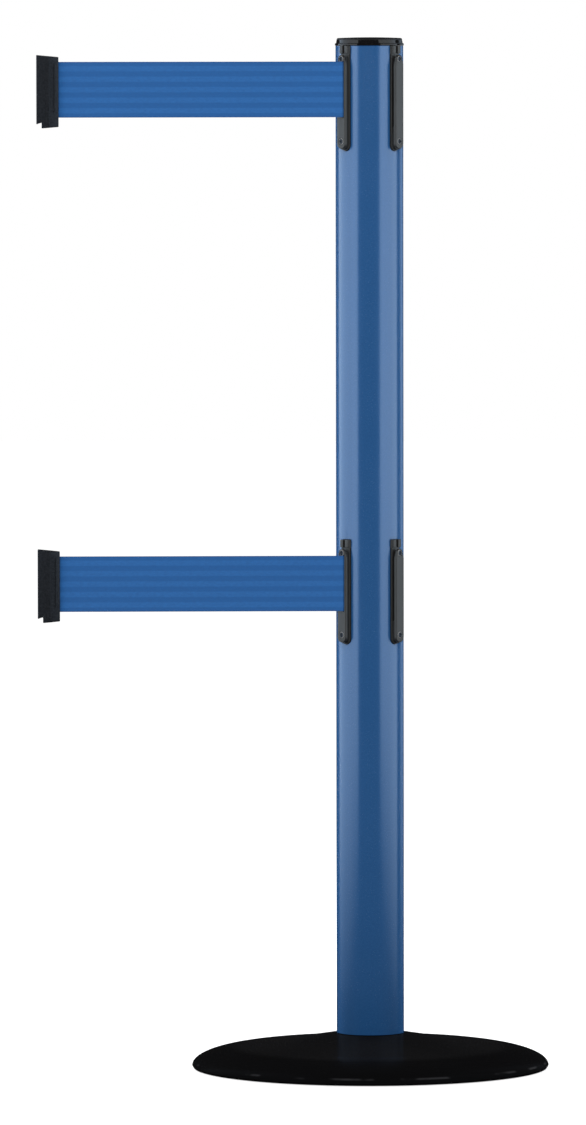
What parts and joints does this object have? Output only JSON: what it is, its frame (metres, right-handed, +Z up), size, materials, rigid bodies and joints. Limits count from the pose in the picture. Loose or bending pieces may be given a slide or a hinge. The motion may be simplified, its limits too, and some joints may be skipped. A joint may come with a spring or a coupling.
{
  "type": "retractable belt stanchion",
  "caption": "Free-standing crowd-control post with two spring-retracted blue belts, slotted belt receivers and a domed round base.",
  "frame": {"origin": "on the floor under the middle of the post, on the face of the rubber plug that covers the base bolt", "axes": "+Z up along the post; the belts run out along -X, on the -Y side of the post's middle; the front of the object faces -Y"},
  "size_m": [0.4801, 0.336, 0.97],
  "materials": {
    "post_paint": "smooth glossy blue powder coat",
    "base_gloss": "high-gloss black moulded cover",
    "cap_gloss": "gloss black moulding",
    "insert_plastic": "satin dark grey moulding",
    "tape_end_plastic": "fine-textured black moulding",
    "cassette_plastic": "plain black moulding",
    "spool_plastic": "natural acetal moulding",
    "belt_webbing": "tightly woven ribbed polyester webbing with dark woven edges",
    "cast_iron": "as cast, dark paint wash",
    "steel": "zinc-plated",
    "spring_steel": "blued spring strip",
    "rubber": "matt black rubber",
    "felt": "pressed wool felt"
  },
  "bodies": {
    "post": {"floor_ring": "rubber", "bolt_plug": "rubber", "base_weight": "cast_iron", "base_cover": "base_gloss", "base_bolt": "steel", "base_washer": "steel", "post_tube": "post_paint", "post_foot": "cast_iron", "top_cap": "cap_gloss", "upper_belt_outlet": "insert_plastic", "upper_outlet_screw_bottom": "steel", "upper_outlet_screw_top": "steel", "upper_receiver_front": "insert_plastic", "upper_front_screw_bottom": "steel", "upper_front_screw_top": "steel", "upper_receiver_back": "insert_plastic", "upper_back_screw_bottom": "steel", "upper_back_screw_top": "steel", "upper_receiver_side": "insert_plastic", "upper_side_screw_bottom": "steel", "upper_side_screw_top": "steel", "upper_cassette_shell": "cassette_plastic", "upper_cassette_lid": "cassette_plastic", "upper_axle": "steel", "upper_power_spring": "spring_steel", "upper_spring_cover": "cassette_plastic", "upper_brake_pad": "felt", "upper_brake_washer": "spring_steel", "lower_belt_outlet": "insert_plastic", "lower_outlet_screw_bottom": "steel", "lower_outlet_screw_top": "steel", "lower_receiver_front": "insert_plastic", "lower_front_screw_bottom": "steel", "lower_front_screw_top": "steel", "lower_receiver_back": "insert_plastic", "lower_back_screw_bottom": "steel", "lower_back_screw_top": "steel", "lower_receiver_side": "insert_plastic", "lower_side_screw_bottom": "steel", "lower_side_screw_top": "steel", "lower_cassette_shell": "cassette_plastic", "lower_cassette_lid": "cassette_plastic", "lower_axle": "steel", "lower_power_spring": "spring_steel", "lower_spring_cover": "cassette_plastic", "lower_brake_pad": "felt", "lower_brake_washer": "spring_steel"},
    "upper_spool_drum": {"upper_spool": "spool_plastic", "upper_belt_roll": "belt_webbing"},
    "upper_belt_end": {"upper_tape_end": "tape_end_plastic", "upper_belt_pin": "steel", "upper_belt": "belt_webbing"},
    "lower_spool_drum": {"lower_spool": "spool_plastic", "lower_belt_roll": "belt_webbing"},
    "lower_belt_end": {"lower_tape_end": "tape_end_plastic", "lower_belt_pin": "steel", "lower_belt": "belt_webbing"}
  },
  "joints": [
    {"name": "upper_belt_pull", "type": "slide", "parent": "post", "child": "upper_belt_end", "axis": [-1, 0, 0], "range_m": [-0.259, 2], "stiffness_N_per_m": 1.5, "springref_m": -4, "deforming": ["upper_belt", "upper_belt_roll"]},
    {"name": "upper_spool_spin", "type": "hinge", "parent": "post", "child": "upper_spool_drum", "pos_m": [0, 0, 0.9214], "axis": [0, 0, 1], "continuous": true, "deforming": ["upper_power_spring"]},
    {"name": "lower_belt_pull", "type": "slide", "parent": "post", "child": "lower_belt_end", "axis": [-1, 0, 0], "range_m": [-0.259, 2], "stiffness_N_per_m": 1.5, "springref_m": -4, "deforming": ["lower_belt", "lower_belt_roll"]},
    {"name": "lower_spool_spin", "type": "hinge", "parent": "post", "child": "lower_spool_drum", "pos_m": [0, 0, 0.459], "axis": [0, 0, 1], "continuous": true, "deforming": ["lower_power_spring"]}
  ],
  "couplings": [
    {"joint": "upper_spool_spin", "follows": "upper_belt_pull", "rad_per_m": -74},
    {"joint": "lower_spool_spin", "follows": "lower_belt_pull", "rad_per_m": -74}
  ]
}
